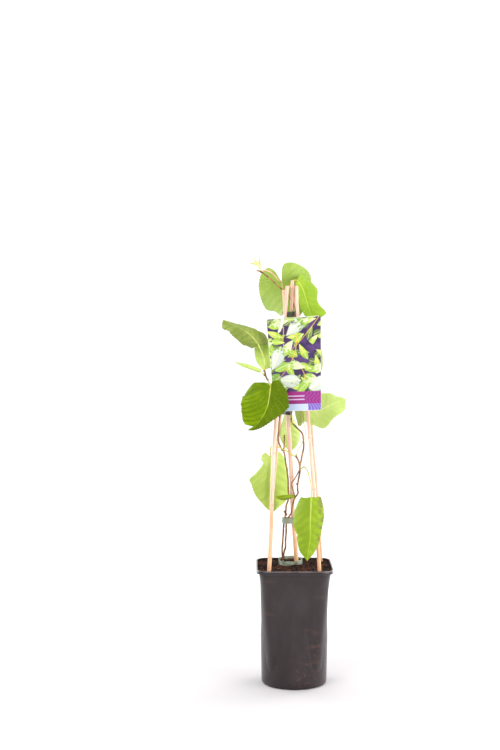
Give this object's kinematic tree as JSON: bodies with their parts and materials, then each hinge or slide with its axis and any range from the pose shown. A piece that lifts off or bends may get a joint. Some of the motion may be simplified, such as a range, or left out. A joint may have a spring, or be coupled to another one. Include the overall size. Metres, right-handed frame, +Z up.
{
  "type": "potted arctic kiwi",
  "caption": "Young twining vine with heart-shaped toothed leaves on a teepee of tied bamboo canes, in a tall square-mouthed nursery pot of soil, with a picture label.",
  "frame": {"origin": "middle of the pot's flat underside", "axes": "+Z up the canes, -Y towards the side that the label faces, +X to the right of a viewer who faces the label"},
  "size_m": [0.2229, 0.1543, 0.768],
  "materials": {
    "pot_plastic": "satin black moulded plastic, dusty with soil",
    "potting_soil": "damp bark and fibre compost, rough",
    "sleeve_fibre": "pressed fibre, matt",
    "bamboo": "peeled bamboo, satin, with raised node rings",
    "tape_dark": "glossy black tying tape",
    "tape_green": "grey-green tying tape",
    "label_print": "printed plastic card, glossy",
    "strap_white": "white plastic strap, satin",
    "vine_bark": "smooth brown bark",
    "leaf_dark": "glossy leaf, raised net of veins",
    "leaf_green": "satin leaf, raised net of veins",
    "leaf_pale": "satin leaf, lit through, raised net of veins",
    "tip_cream": "downy young leaf"
  },
  "bodies": {
    "root": {"pot": "pot_plastic", "potting_soil": "potting_soil", "plug_sleeve": "sleeve_fibre", "cane_front_left": "bamboo", "cane_front_right": "bamboo", "cane_back_left": "bamboo", "cane_back_right": "bamboo", "cane_centre": "bamboo", "tape_top": "tape_dark", "tape_middle": "tape_dark", "tape_bottom": "tape_green", "label_card": "label_print", "label_strap": "strap_white", "vine": "vine_bark", "leaf_front": "leaf_dark", "leaf_upper_left": "leaf_pale", "leaf_behind_shoot": "leaf_pale", "leaf_narrow": "leaf_pale", "leaf_top": "leaf_pale", "leaf_top_right": "leaf_green", "leaf_behind_label": "leaf_pale", "leaf_right": "leaf_pale", "leaf_under_label": "leaf_pale", "leaf_hanging": "leaf_pale", "leaf_lower_left": "leaf_pale", "leaf_lower_right": "leaf_green", "leaf_small": "leaf_green", "tip_leaves": "tip_cream"}
  },
  "joints": []
}
